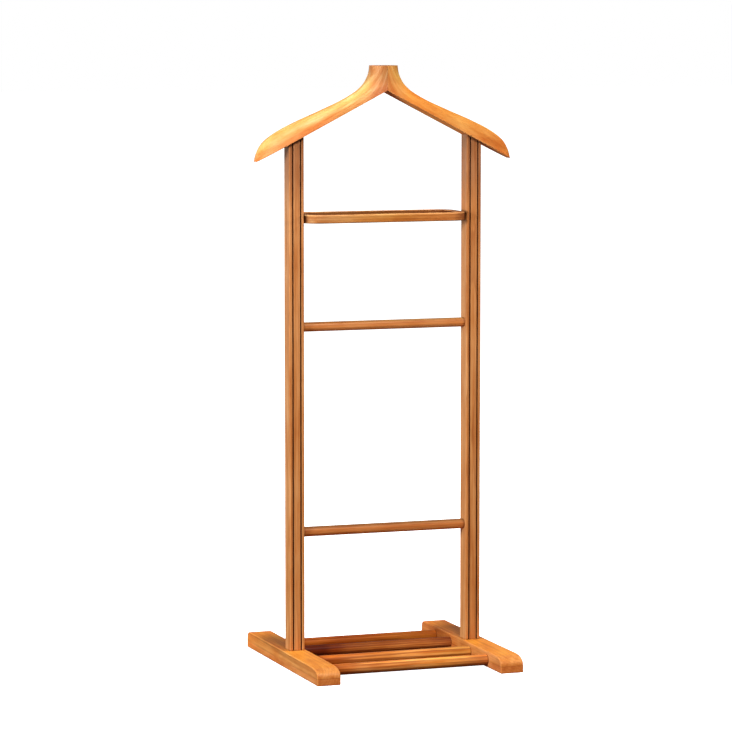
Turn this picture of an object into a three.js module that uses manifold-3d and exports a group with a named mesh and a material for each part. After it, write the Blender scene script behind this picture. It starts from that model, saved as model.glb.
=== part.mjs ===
// Valet stand in varnished hardwood: two feet joined by four base rails, two
// fluted posts, two trouser bars, a shallow tray and a two-piece coat hanger.
// Millimetres, +X to the right, +Y to the rear, +Z up, floor at z = 0.
import * as THREE from 'three';
import { mergeVertices } from 'three/addons/utils/BufferGeometryUtils.js';
import Module from 'manifold-3d';

const wasm = await Module();
wasm.setup();

// ---- driving dimensions -------------------------------------------------
const FIT = 0.3; // glue clearance around every dowel and tenon
const OVERCUT = 10; // how far cutting tools start outside the face they enter
const WELD = 1e-4; // corners closer than this are one corner

const POST_CENTRE = 168.4; // from the middle of the stand to each post
const POST_WIDTH = 28;
const POST_DEPTH = 29;
const POST_EDGE_RADIUS = 1.6;
const FLUTE_OFFSET = 7.3; // each of the two front flutes from the post's centre
const FLUTE_WIDTH = 2.6;
const FLUTE_DEPTH = 3.2;

const FOOT_HEIGHT = 29.5;
const FOOT_FRONT = -199; // from the middle of the posts
const FOOT_REAR = 204;
const FOOT_INNER_MARGIN = 4; // foot past the post, towards the middle
const FOOT_OUTER_MARGIN = 11.3; // foot past the post, outwards
const FOOT_NOSE_LENGTH = 46; // the top falls in a full curve to the front end
const FOOT_NOSE_DROP = 19;
const FOOT_NOSE_FULLNESS = 2.8; // 2 would be a plain ellipse
const FOOT_NOSE_STEPS = 20;
const FOOT_HEEL_RADIUS = 12;
const FOOT_EDGE_BEVEL = 1.5;

const RAIL_RADIUS = 10;
const RAIL_HEIGHT = 13.9;
const RAIL_PLACES = [
  ['base_rail_front', -130],
  ['base_rail_mid_front', -45],
  ['base_rail_mid_rear', 55],
  ['base_rail_rear', 130],
];
const RAIL_TENON = 14;

const BAR_TENON = 12;
const BAR_PLACES = [
  // name, height, radius
  ['trouser_bar_upper', 610.7, 8.5],
  ['trouser_bar_lower', 242.2, 9],
];

const TRAY_BOTTOM = 796;
const TRAY_THICKNESS = 15.5;
const TRAY_FRONT = -30.7;
const TRAY_REAR = 75;
const TRAY_CORNER = 30;
const TRAY_RIM = 7; // width of the front and rear rims
const TRAY_END_RIM = 16; // wider, to take the dowels
const TRAY_RECESS = 8.5;
const TRAY_RECESS_CORNER = 21;
const TRAY_EDGE_BEVEL = 2.4;

const HANGER_TOP = 1074.5;
const HANGER_APEX = 1030; // height of the underside at the middle
const HANGER_SLOPE = 0.515; // fall of the underside per millimetre outwards
const HANGER_CROWN = 14; // depth of the rounding over the top
const HANGER_CROWN_SHARE = 0.78; // share of the half depth that is rounded
const HANGER_CROWN_LIMIT = 0.66; // the rounding takes no more of a short section
const HANGER_EDGE = 0.8; // eased edge along the underside and the joint
const HANGER_EDGE_LIMIT = 0.2; // share of a short section the eased edge may take
const HANGER_TURN = 0.45; // where the sections step round the corner under the neck
const HANGER_SECTIONS = 56;
const HANGER_CROWN_POINTS = 9;

const NECK_DOWEL_RADIUS = 4;
const NECK_DOWEL_HALF = 16;
const NECK_DOWEL_HEIGHTS = [1043, 1062];
const ARM_DOWEL_RADIUS = 5;
const ARM_DOWEL_BOTTOM = 915;
const ARM_DOWEL_TOP = 962;
const TRAY_DOWEL_RADIUS = 4;
const TRAY_DOWEL_HALF = 11;
const TRAY_DOWEL_Y = 6.5;
const TRAY_DOWEL_HEIGHT = TRAY_BOTTOM + TRAY_THICKNESS / 2;
const FOOT_DOWEL_RADIUS = 3;
const FOOT_DOWEL_OFFSET = 8.5;
const FOOT_DOWEL_HALF = 12;
const SCREW_SHANK_RADIUS = 3;
const SCREW_HEAD_RADIUS = 5.8;
const SCREW_HEAD_HEIGHT = 4.5;
const SCREW_LENGTH = 57;
const SCREW_POINT = 6;
const SCREW_SOCKET_RADIUS = 2.9;
const SCREW_SOCKET_DEPTH = 2.6;
const SCREW_HEAD_CHAMFER = 0.6;
const COUNTERBORE_RADIUS = 6.6;
const COUNTERBORE_DEPTH = 9;

// sides of the round parts and of the holes they sit in
const RAIL_SIDES = 48;
const BAR_SIDES = 44;
const SOCKET_SIDES = 36;
const SCREW_SIDES = 28;
const DOWEL_SIDES = 24;
const PIN_SIDES = 20;

const POST_INNER = POST_CENTRE - POST_WIDTH / 2;
const FOOT_INNER = POST_INNER - FOOT_INNER_MARGIN;
const FOOT_OUTER = POST_CENTRE + POST_WIDTH / 2 + FOOT_OUTER_MARGIN;
const FOOT_WIDTH = FOOT_OUTER - FOOT_INNER;

// ---- materials ----------------------------------------------------------
const wood = (colour, roughness) =>
  new THREE.MeshStandardMaterial({ color: colour, roughness, metalness: 0 });
const post_wood = () => wood(0xb8743f, 0.42);
const foot_wood = () => wood(0xc27a3a, 0.4);
const rail_wood = () => wood(0xb66d35, 0.42);
const bar_wood = () => wood(0xb97440, 0.4);
const tray_wood = () => wood(0xbf7a42, 0.42);
const hanger_wood = () => wood(0xd99a55, 0.36);
const dowel_wood = () => wood(0xd8b98a, 0.7);
const screw_steel = () =>
  new THREE.MeshStandardMaterial({ color: 0x9a9c9e, roughness: 0.38, metalness: 1 });

// ---- helpers ------------------------------------------------------------
function closed(geometry) {
  const bare = geometry.index ? geometry.toNonIndexed() : geometry.clone();
  bare.deleteAttribute('normal');
  bare.deleteAttribute('uv');
  return mergeVertices(bare, WELD);
}

function solid(geometry) {
  const g = closed(geometry);
  return new wasm.Manifold(new wasm.Mesh({
    numProp: 3,
    vertProperties: new Float32Array(g.attributes.position.array),
    triVerts: new Uint32Array(g.index.array),
  }));
}

function shape_of(body) {
  const m = body.getMesh();
  const g = new THREE.BufferGeometry();
  g.setAttribute('position', new THREE.BufferAttribute(new Float32Array(m.vertProperties), 3));
  g.setIndex(new THREE.BufferAttribute(new Uint32Array(m.triVerts), 1));
  g.computeVertexNormals();
  return g;
}

function drill(body, ...cutters) {
  return cutters.reduce((left, cutter) => left.subtract(solid(cutter)), body);
}

// Round rod or hole from one end to the other along a named axis.
function rod(axis, radius, start, end, x, y, z, sides = 32) {
  const g = new THREE.CylinderGeometry(radius, radius, end - start, sides);
  const middle = (start + end) / 2;
  if (axis === 'x') {
    g.rotateZ(Math.PI / 2);
    g.translate(middle, y, z);
  } else {
    g.rotateX(Math.PI / 2);
    g.translate(x, y, middle);
  }
  return g;
}

function underside(x) {
  return HANGER_APEX - HANGER_SLOPE * Math.abs(x);
}

const stand = new THREE.Group();
stand.name = 'valet_stand';

function add(name, geometry, material) {
  const mesh = new THREE.Mesh(geometry, material);
  mesh.name = name;
  stand.add(mesh);
}

// ---- feet ---------------------------------------------------------------
function foot_profile() {
  const s = new THREE.Shape();
  s.moveTo(FOOT_FRONT, 0);
  s.lineTo(FOOT_REAR, 0);
  s.lineTo(FOOT_REAR, FOOT_HEIGHT - FOOT_HEEL_RADIUS);
  s.absarc(FOOT_REAR - FOOT_HEEL_RADIUS, FOOT_HEIGHT - FOOT_HEEL_RADIUS, FOOT_HEEL_RADIUS,
    0, Math.PI / 2, false);
  const power = 2 / FOOT_NOSE_FULLNESS;
  for (let k = 0; k <= FOOT_NOSE_STEPS; k += 1) {
    const a = (k / FOOT_NOSE_STEPS) * (Math.PI / 2);
    s.lineTo(FOOT_FRONT + FOOT_NOSE_LENGTH * (1 - Math.sin(a) ** power),
      FOOT_HEIGHT - FOOT_NOSE_DROP * (1 - Math.max(Math.cos(a), 0) ** power));
  }
  s.lineTo(FOOT_FRONT, 0);
  return s;
}

function foot(side) {
  const blank = new THREE.ExtrudeGeometry(foot_profile(), {
    depth: FOOT_WIDTH - 2 * FOOT_EDGE_BEVEL,
    curveSegments: 14,
    bevelEnabled: true,
    bevelThickness: FOOT_EDGE_BEVEL,
    bevelSize: FOOT_EDGE_BEVEL,
    bevelOffset: -FOOT_EDGE_BEVEL,
    bevelSegments: 2,
  });
  // profile (y, z) extruded along x
  blank.rotateX(Math.PI / 2);
  blank.rotateZ(Math.PI / 2);
  blank.translate(FOOT_INNER + FOOT_EDGE_BEVEL, 0, 0);
  if (side < 0) blank.translate(-(FOOT_INNER + FOOT_OUTER), 0, 0);
  const x = side * POST_CENTRE;
  const deep = side * (FOOT_INNER + RAIL_TENON + FIT);
  const open = side * (FOOT_INNER - OVERCUT);
  const sockets = RAIL_PLACES.map(([, y]) => rod('x', RAIL_RADIUS + FIT,
    Math.min(deep, open), Math.max(deep, open), 0, y, RAIL_HEIGHT, SOCKET_SIDES));
  const dowel_holes = [-1, 1].map((k) => rod('z', FOOT_DOWEL_RADIUS + FIT,
    FOOT_HEIGHT - FOOT_DOWEL_HALF - FIT, FOOT_HEIGHT + OVERCUT,
    x + k * FOOT_DOWEL_OFFSET, 0, 0, PIN_SIDES));
  const screw_hole = rod('z', SCREW_SHANK_RADIUS + FIT, -OVERCUT, FOOT_HEIGHT + OVERCUT,
    x, 0, 0, PIN_SIDES);
  const counterbore = rod('z', COUNTERBORE_RADIUS, -OVERCUT, COUNTERBORE_DEPTH,
    x, 0, 0, SCREW_SIDES);
  return shape_of(drill(solid(blank), ...sockets, ...dowel_holes, screw_hole, counterbore));
}

add('left_foot', foot(-1), foot_wood());
add('right_foot', foot(1), foot_wood());

// ---- base rails ---------------------------------------------------------
for (const [name, y] of RAIL_PLACES) {
  const reach = FOOT_INNER + RAIL_TENON;
  add(name, rod('x', RAIL_RADIUS, -reach, reach, 0, y, RAIL_HEIGHT, RAIL_SIDES),
    rail_wood());
}

// ---- posts --------------------------------------------------------------
function post_section() {
  const w = POST_WIDTH / 2;
  const d = POST_DEPTH / 2;
  const r = POST_EDGE_RADIUS;
  const half = FLUTE_WIDTH / 2;
  const s = new THREE.Shape();
  s.moveTo(-w + r, -d);
  for (const centre of [-FLUTE_OFFSET, FLUTE_OFFSET]) {
    s.lineTo(centre - half, -d);
    s.lineTo(centre - half, -d + FLUTE_DEPTH - half);
    s.absarc(centre, -d + FLUTE_DEPTH - half, half, Math.PI, 0, true);
    s.lineTo(centre + half, -d);
  }
  s.lineTo(w - r, -d);
  s.absarc(w - r, -d + r, r, -Math.PI / 2, 0, false);
  s.lineTo(w, d - r);
  s.absarc(w - r, d - r, r, 0, Math.PI / 2, false);
  s.lineTo(-w + r, d);
  s.absarc(-w + r, d - r, r, Math.PI / 2, Math.PI, false);
  s.lineTo(-w, -d + r);
  s.absarc(-w + r, -d + r, r, Math.PI, Math.PI * 1.5, false);
  return s;
}

function post(side) {
  const x = side * POST_CENTRE;
  const stick = new THREE.ExtrudeGeometry(post_section(), {
    depth: 1, curveSegments: 5, bevelEnabled: false,
  });
  // the top end is sawn to the slope of the hanger that stands on it
  const p = stick.attributes.position;
  for (let i = 0; i < p.count; i += 1) {
    const top = p.getZ(i) > 0.5;
    p.setX(i, p.getX(i) + x);
    p.setZ(i, top ? underside(p.getX(i)) : FOOT_HEIGHT);
  }
  const deep = side * (POST_INNER + BAR_TENON + FIT);
  const open = side * (POST_INNER - OVERCUT);
  const bar_sockets = BAR_PLACES.map(([, z, radius]) => rod('x', radius + FIT,
    Math.min(deep, open), Math.max(deep, open), 0, 0, z, SOCKET_SIDES));
  const tray_deep = side * (POST_INNER + TRAY_DOWEL_HALF + FIT);
  const tray_hole = rod('x', TRAY_DOWEL_RADIUS + FIT, Math.min(tray_deep, open),
    Math.max(tray_deep, open), 0, TRAY_DOWEL_Y, TRAY_DOWEL_HEIGHT, DOWEL_SIDES);
  const arm_hole = rod('z', ARM_DOWEL_RADIUS + FIT, ARM_DOWEL_BOTTOM - FIT,
    HANGER_APEX, x, 0, 0, DOWEL_SIDES);
  const dowel_holes = [-1, 1].map((k) => rod('z', FOOT_DOWEL_RADIUS + FIT,
    FOOT_HEIGHT - OVERCUT, FOOT_HEIGHT + FOOT_DOWEL_HALF + FIT,
    x + k * FOOT_DOWEL_OFFSET, 0, 0, PIN_SIDES));
  const pilot = rod('z', SCREW_SHANK_RADIUS + FIT, FOOT_HEIGHT - OVERCUT,
    COUNTERBORE_DEPTH + SCREW_LENGTH + FIT, x, 0, 0, PIN_SIDES);
  return shape_of(drill(solid(stick), ...bar_sockets, tray_hole, arm_hole,
    ...dowel_holes, pilot));
}

add('left_post', post(-1), post_wood());
add('right_post', post(1), post_wood());

// ---- trouser bars -------------------------------------------------------
const bar_reach = POST_INNER + BAR_TENON;
for (const [name, z, radius] of BAR_PLACES) {
  add(name, rod('x', radius, -bar_reach, bar_reach, 0, 0, z, BAR_SIDES), bar_wood());
}

// ---- tray ---------------------------------------------------------------
function rounded_rectangle(x0, x1, y0, y1, r) {
  const s = new THREE.Shape();
  s.moveTo(x0 + r, y0);
  s.lineTo(x1 - r, y0);
  s.absarc(x1 - r, y0 + r, r, -Math.PI / 2, 0, false);
  s.lineTo(x1, y1 - r);
  s.absarc(x1 - r, y1 - r, r, 0, Math.PI / 2, false);
  s.lineTo(x0 + r, y1);
  s.absarc(x0 + r, y1 - r, r, Math.PI / 2, Math.PI, false);
  s.lineTo(x0, y0 + r);
  s.absarc(x0 + r, y0 + r, r, Math.PI, Math.PI * 1.5, false);
  return s;
}

function tray() {
  const board = new THREE.ExtrudeGeometry(
    rounded_rectangle(-POST_INNER, POST_INNER, TRAY_FRONT, TRAY_REAR, TRAY_CORNER), {
      depth: TRAY_THICKNESS - 2 * TRAY_EDGE_BEVEL,
      curveSegments: 12,
      bevelEnabled: true,
      bevelThickness: TRAY_EDGE_BEVEL,
      bevelSize: TRAY_EDGE_BEVEL,
      bevelOffset: -TRAY_EDGE_BEVEL,
      bevelSegments: 4,
    });
  board.translate(0, 0, TRAY_BOTTOM + TRAY_EDGE_BEVEL);
  const pocket = new THREE.ExtrudeGeometry(
    rounded_rectangle(-POST_INNER + TRAY_END_RIM, POST_INNER - TRAY_END_RIM,
      TRAY_FRONT + TRAY_RIM, TRAY_REAR - TRAY_RIM, TRAY_RECESS_CORNER), {
      depth: TRAY_RECESS + OVERCUT,
      curveSegments: 10,
      bevelEnabled: false,
    });
  pocket.translate(0, 0, TRAY_BOTTOM + TRAY_THICKNESS - TRAY_RECESS);
  const deep = POST_INNER - TRAY_DOWEL_HALF - FIT;
  const open = POST_INNER + OVERCUT;
  const left_hole = rod('x', TRAY_DOWEL_RADIUS + FIT, -open, -deep, 0,
    TRAY_DOWEL_Y, TRAY_DOWEL_HEIGHT, DOWEL_SIDES);
  const right_hole = rod('x', TRAY_DOWEL_RADIUS + FIT, deep, open, 0,
    TRAY_DOWEL_Y, TRAY_DOWEL_HEIGHT, DOWEL_SIDES);
  return shape_of(drill(solid(board), pocket, left_hole, right_hole));
}

add('tray', tray(), tray_wood());

// ---- hanger -------------------------------------------------------------
// Top edge of one arm, from the sawn neck down the flare and out to the nose.
const crest = new THREE.SplineCurve([
  [24.2, 1074.5], [25.6, 1064], [29, 1054.3], [37.4, 1040.7], [52, 1028.2], [79.8, 1012.5],
  [120.7, 994.6], [163.4, 976.8], [200.1, 959], [225.7, 941], [237.7, 923],
  [242.8, 906.6],
].map(([x, z]) => new THREE.Vector2(x, z)));

// Matching foot of each section: down the glued joint, then out along the underside.
const heel = [
  [0, 1074.5], [0, 1061], [0, 1048], [0, 1036.5], [9, underside(9)], [55, underside(55)],
  [108, underside(108)], [150, underside(150)], [186, underside(186)],
  [212, underside(212)], [229, underside(229)], [240.5, underside(240.5)],
];

// Half the front-to-back depth of the hanger against the distance from the middle.
const depth_table = [
  [0, 22.6], [60, 22.4], [110, 21.6], [150, 20.4], [185, 18.6], [212, 16.4],
  [228, 13.6], [237, 10.8], [241, 8], [244, 4],
];

function lerp_table(table, x) {
  const last = table.length - 1;
  if (x <= table[0][0]) return table[0][1];
  for (let i = 0; i < last; i += 1) {
    const [xa, a] = table[i];
    const [xb, b] = table[i + 1];
    if (x <= xb) return a + ((b - a) * (x - xa)) / (xb - xa);
  }
  return table[last][1];
}

function heel_point(t) {
  const place = t * (heel.length - 1);
  const i = Math.min(Math.floor(place), heel.length - 2);
  const f = place - i;
  const [xa, za] = heel[i];
  const [xb, zb] = heel[i + 1];
  // the corner under the neck is kept sharp by stepping on to it
  if (xa === 0 && xb > 0) {
    if (f <= HANGER_TURN) return [0, za + ((HANGER_APEX - za) * f) / HANGER_TURN];
    const x = (xb * (f - HANGER_TURN)) / (1 - HANGER_TURN);
    return [x, underside(x)];
  }
  return [xa + (xb - xa) * f, za + (zb - za) * f];
}

// One closed section, up the front of the arm, over the crown and down the back.
function section(length, half, half_at_heel) {
  const edge = Math.min(HANGER_EDGE, length * HANGER_EDGE_LIMIT);
  const drop = Math.min(HANGER_CROWN, length * HANGER_CROWN_LIMIT);
  const sweep = half * HANGER_CROWN_SHARE;
  const side = [[0, half_at_heel - edge], [edge, half_at_heel]];
  for (let k = 0; k <= HANGER_CROWN_POINTS; k += 1) {
    const a = (k / HANGER_CROWN_POINTS) * (Math.PI / 2);
    side.push([length - drop + drop * Math.sin(a), half - sweep + sweep * Math.cos(a)]);
  }
  const front = side.map(([u, y]) => [u, -y]);
  return front.concat(side.reverse());
}

function arm_blank() {
  const ring_size = section(20, 20, 20).length;
  const g = new THREE.CylinderGeometry(1, 1, 1, ring_size, HANGER_SECTIONS);
  const p = g.attributes.position;
  const wall = (HANGER_SECTIONS + 1) * (ring_size + 1);
  const rings = [];
  for (let i = 0; i <= HANGER_SECTIONS; i += 1) {
    const t = i / HANGER_SECTIONS;
    const top = crest.getPoint(t);
    const [bx, bz] = heel_point(t);
    const length = Math.hypot(top.x - bx, top.y - bz);
    const ux = (top.x - bx) / length;
    const uz = (top.y - bz) / length;
    const half = lerp_table(depth_table, top.x);
    const half_at_heel = lerp_table(depth_table, bx);
    rings.push(section(length, half, half_at_heel)
      .map(([u, y]) => [bx + ux * u, y, bz + uz * u]));
  }
  // wall vertices first, row by row; then the two end fans
  for (let i = 0; i <= HANGER_SECTIONS; i += 1) {
    for (let j = 0; j <= ring_size; j += 1) {
      p.setXYZ(i * (ring_size + 1) + j, ...rings[i][j % ring_size]);
    }
  }
  const fans = [rings[0], rings[HANGER_SECTIONS]];
  let index = wall;
  for (const ring of fans) {
    const centre = ring.reduce((s, v) => s.map((c, k) => c + v[k] / ring.length), [0, 0, 0]);
    for (let j = 0; j < ring_size; j += 1) {
      p.setXYZ(index, ...centre);
      index += 1;
    }
    for (let j = 0; j <= ring_size; j += 1) {
      p.setXYZ(index, ...ring[j % ring_size]);
      index += 1;
    }
  }
  return g;
}

function arm(side) {
  const blank = arm_blank();
  let body = solid(blank);
  if (side < 0) {
    const mirrored = blank.toNonIndexed();
    const p = mirrored.attributes.position;
    for (let i = 0; i < p.count; i += 3) {
      // flip x and swap two corners so that the faces keep facing outwards
      const a = [-p.getX(i), p.getY(i), p.getZ(i)];
      const b = [-p.getX(i + 1), p.getY(i + 1), p.getZ(i + 1)];
      const c = [-p.getX(i + 2), p.getY(i + 2), p.getZ(i + 2)];
      p.setXYZ(i, ...a);
      p.setXYZ(i + 1, ...c);
      p.setXYZ(i + 2, ...b);
    }
    body = solid(mirrored);
  }
  const neck_deep = side * (NECK_DOWEL_HALF + FIT);
  const neck_open = -side * OVERCUT;
  const neck_holes = NECK_DOWEL_HEIGHTS.map((z) => rod('x', NECK_DOWEL_RADIUS + FIT,
    Math.min(neck_deep, neck_open), Math.max(neck_deep, neck_open), 0, 0, z, DOWEL_SIDES));
  const arm_hole = rod('z', ARM_DOWEL_RADIUS + FIT, ARM_DOWEL_BOTTOM, ARM_DOWEL_TOP + FIT,
    side * POST_CENTRE, 0, 0, DOWEL_SIDES);
  return shape_of(drill(body, ...neck_holes, arm_hole));
}

add('hanger_left_arm', arm(-1), hanger_wood());
add('hanger_right_arm', arm(1), hanger_wood());

// ---- dowels -------------------------------------------------------------
const neck_names = ['neck_dowel_lower', 'neck_dowel_upper'];
neck_names.forEach((name, i) => add(name, rod('x', NECK_DOWEL_RADIUS, -NECK_DOWEL_HALF,
  NECK_DOWEL_HALF, 0, 0, NECK_DOWEL_HEIGHTS[i], DOWEL_SIDES), dowel_wood()));

for (const [word, side] of [['left', -1], ['right', 1]]) {
  const x = side * POST_CENTRE;
  add(`arm_dowel_${word}`, rod('z', ARM_DOWEL_RADIUS, ARM_DOWEL_BOTTOM, ARM_DOWEL_TOP,
    x, 0, 0, DOWEL_SIDES), dowel_wood());
  add(`tray_dowel_${word}`, rod('x', TRAY_DOWEL_RADIUS, side * POST_INNER - TRAY_DOWEL_HALF,
    side * POST_INNER + TRAY_DOWEL_HALF, 0, TRAY_DOWEL_Y, TRAY_DOWEL_HEIGHT, DOWEL_SIDES),
    dowel_wood());
  for (const [place, k] of [['inner', -side], ['outer', side]]) {
    add(`foot_dowel_${word}_${place}`, rod('z', FOOT_DOWEL_RADIUS,
      FOOT_HEIGHT - FOOT_DOWEL_HALF, FOOT_HEIGHT + FOOT_DOWEL_HALF,
      x + k * FOOT_DOWEL_OFFSET, 0, 0, PIN_SIDES), dowel_wood());
  }
}

// ---- screws from under the feet ------------------------------------------
function screw(side) {
  const seat = COUNTERBORE_DEPTH;
  const under = seat - SCREW_HEAD_HEIGHT;
  const tip = seat + SCREW_LENGTH;
  const turned = new THREE.LatheGeometry([
    [0, under], [SCREW_HEAD_RADIUS - SCREW_HEAD_CHAMFER, under],
    [SCREW_HEAD_RADIUS, under + SCREW_HEAD_CHAMFER],
    [SCREW_HEAD_RADIUS, seat], [SCREW_SHANK_RADIUS, seat],
    [SCREW_SHANK_RADIUS, tip - SCREW_POINT], [0, tip],
  ].map(([r, z]) => new THREE.Vector2(r, z)), DOWEL_SIDES);
  turned.rotateX(Math.PI / 2);
  const socket = new THREE.CylinderGeometry(SCREW_SOCKET_RADIUS, SCREW_SOCKET_RADIUS,
    SCREW_SOCKET_DEPTH + OVERCUT, 6);
  socket.rotateX(Math.PI / 2);
  socket.translate(0, 0, under + (SCREW_SOCKET_DEPTH - OVERCUT) / 2);
  const g = shape_of(drill(solid(turned), socket));
  g.translate(side * POST_CENTRE, 0, 0);
  return g;
}

add('foot_screw_left', screw(-1), screw_steel());
add('foot_screw_right', screw(1), screw_steel());

// The design is laid out from the middle of the posts; the origin belongs in the
// middle of the footprint.
const footprint_shift = -(FOOT_FRONT + FOOT_REAR) / 2;
for (const mesh of stand.children) mesh.geometry.translate(0, footprint_shift, 0);

export default stand;
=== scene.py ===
"""Valet stand in honey-coloured varnished wood, dressed around its CAD frame.

Metres, +X right, +Y rear, +Z up, floor at z = 0. Sizes are read from the CAD
nodes; the visible wooden pieces are rebuilt here with rounded edges, soft
flutes and a solid wood grain, and stand for the CAD nodes of the same place.
Every vertex of those pieces carries two marks, from 0 to 1: "stain_and_shade", how
dark it is painted, for glue lines and for painted shade in flutes, recesses, sockets,
under rails and behind posts, and "wear_and_highlight", how pale an edge is painted,
for rubbed edges and, on the tray, a painted highlight.
"""
import math

import bmesh
import bpy
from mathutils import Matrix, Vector


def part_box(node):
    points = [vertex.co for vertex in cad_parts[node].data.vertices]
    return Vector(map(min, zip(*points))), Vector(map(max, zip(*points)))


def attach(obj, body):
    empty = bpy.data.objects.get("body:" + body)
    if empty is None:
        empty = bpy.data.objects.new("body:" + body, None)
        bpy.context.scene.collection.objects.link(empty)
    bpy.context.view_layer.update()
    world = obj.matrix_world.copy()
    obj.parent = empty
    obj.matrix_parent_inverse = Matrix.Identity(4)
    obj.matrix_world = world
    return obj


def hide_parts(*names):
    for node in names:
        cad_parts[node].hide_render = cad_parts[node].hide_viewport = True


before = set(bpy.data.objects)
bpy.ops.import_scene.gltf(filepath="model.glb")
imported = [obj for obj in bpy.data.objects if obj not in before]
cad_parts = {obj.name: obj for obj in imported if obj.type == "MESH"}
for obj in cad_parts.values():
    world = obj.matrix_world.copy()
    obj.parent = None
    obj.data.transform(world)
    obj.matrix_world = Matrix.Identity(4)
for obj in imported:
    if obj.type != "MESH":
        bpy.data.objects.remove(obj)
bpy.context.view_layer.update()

MM = 0.001
ALONG = (1, 0, 0)
DEEP = (0, 1, 0)
UP = (0, 0, 1)
SIDE_WORD = {-1: "left", 1: "right"}
NEARLY_ONE = 0.999999

# ---- sizes read from the CAD nodes ---------------------------------------
post_low, post_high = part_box("right_post")
foot_low, foot_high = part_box("right_foot")
_, arm_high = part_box("hanger_right_arm")
tray_low, tray_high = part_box("tray")
POST_CENTRE = (post_low.x + post_high.x) / 2
POST_HALF_WIDTH = (post_high.x - post_low.x) / 2
POST_HALF_DEPTH = (post_high.y - post_low.y) / 2
POST_Y = (post_low.y + post_high.y) / 2
FOOT_HEIGHT = foot_high.z
HANGER_TIP = arm_high.x
HANGER_TOP = arm_high.z

# ---- shape details --------------------------------------------------------
SHARP_ANGLE = 38  # degrees between faces from which an edge is drawn sharp

POST_ARRIS = 1.9 * MM  # rounding of the post's four long edges
POST_CORNER_STEPS = 6
POST_STATIONS = 30
END_EASE = 0.6 * MM  # sanded edge round the sawn end of a post
END_STAIN = 0.8  # dark glue line at the post's ends
END_STAIN_FADING = 0.35  # what is left of it past the sanded edge
END_STAIN_REACH = 4 * END_EASE
FLUTE_OFFSET = 7.3 * MM
FLUTE_HALF_WIDTH = 1.25 * MM
FLUTE_DEPTH = 3.4 * MM
FLUTE_STEPS = 8
FLUTE_LIP = 0.5 * MM  # softened edge of each flute
# points of that edge: lips out from the flute, lips deep, stain_and_shade, wear_and_highlight; the
# third is painted shade growing into the flute
FLUTE_LIP_POINTS = ((1, 0, 0.0, 0.3), (0.3, 0.3, 0.25, 0.5), (0, 1, 0.8, 0.0))

# painted shadow of the tray on a post's inner face, where the tray meets it
TRAY_SHADOW_BELOW = 9 * MM
TRAY_SHADOW_ABOVE = 3 * MM
TRAY_SHADOW_LOW = 0.75
TRAY_SHADOW_HIGH = 0.8
TRAY_SHADOW_ROUND = 0.15  # share of that painted shadow on the post's other faces

FOOT_NOSE_LENGTH = 46 * MM
FOOT_NOSE_DROP = 19 * MM
FOOT_NOSE_FULLNESS = 2.8  # power of the nose's superellipse
FOOT_NOSE_STEPS = 34
FOOT_HEEL_RADIUS = 12 * MM
FOOT_HEEL_STEPS = 14
FOOT_BODY_STEPS = 14
FOOT_ARRIS = 1.6 * MM
FOOT_ARRIS_STEPS = 6
FOOT_BASE_EASE = 0.6 * MM
FOOT_FRONT_POINT = 0.55  # height of the one point part way up the upright front, as a share
FOOT_REAR_POINT = 0.5  # and of the one up the rear
FOOT_POST_SHADOW = 0.42  # painted shadow of the post on top of a foot behind it
FOOT_POST_SHADOW_START = 4 * MM  # behind the post's front face
FOOT_POST_SHADOW_END = 155 * MM
FOOT_POST_SHADOW_FADE = 45 * MM
FOOT_TOP_BAND = 2 * MM  # height below a foot's top that still counts as its top

ROD_SIDES = 56
ROD_STATIONS = 18
RAIL_SOCKET_STAIN_AND_SHADE = 2.5 * MM  # how far a rail is darkened out of its socket, as stain and painted shade
# on a bar it reaches further, for the painted shadow of the post
BAR_SOCKET_STAIN_AND_SHADE = 5 * MM
SOCKET_STAIN_AND_SHADE = 0.75
SOCKET_STAIN_AND_SHADE_STEPS = (0.5, 2.5, 4.5, 7)  # mm from the socket's mouth
RAIL_UNDERSIDE_SHADE = 0.85  # painted shade along a rail's lowest line
RAIL_UNDERSIDE_SHADE_FROM = 0.3  # sine of the angle below the axis at which it begins

TRAY_CORNER = 30 * MM
TRAY_RIM = 7 * MM
TRAY_END_RIM = 16 * MM
TRAY_RECESS = 8.5 * MM
TRAY_RECESS_CORNER = 21 * MM
TRAY_EDGE = 2.6 * MM
TRAY_RIM_EDGE = 1.6 * MM
TRAY_FILLET = 3 * MM
TRAY_EDGE_STEPS = 5
TRAY_RIM_STEPS = 4
TRAY_WEDGE = 6.5 * MM  # reach of the dark wedge between its rounded ends and the posts
TRAY_RECESS_SHADE = 0.72  # painted shade down the walls of the recess
TRAY_FLOOR_SHADE = 0.35
TRAY_SOFT_HIGHLIGHT = 0.8  # painted highlight on the lower and inner edges against the upper outer one

HANGER_APEX = 1030 * MM  # underside of the hanger at the middle
HANGER_SLOPE = 0.515
HANGER_CROWN = 24 * MM  # height of the rounded upper part of a section
HANGER_CROWN_LIMIT = 0.66  # the most that it takes of the section's height
HANGER_CROWN_SHARE = 0.8  # what it takes of the half depth
HANGER_CROWN_STEPS = 14
HANGER_WALL_STEPS = 3
HANGER_EDGE = 0.9 * MM
HANGER_JOINT_EDGE = 0.4 * MM
HANGER_EDGE_LIMIT = 0.2  # the most that the lower edge takes of a section's height
HANGER_EDGE_BULGE = 0.3
HANGER_TURN = 0.45  # share of the step round the apex that is spent on the glued joint
HANGER_STATIONS = 110
HANGER_SHARP_ANGLE = 50
NECK_SEAM = 0.22  # the glued joint's dark line
NECK_SEAM_REACH = 0.3  # mm

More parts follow.
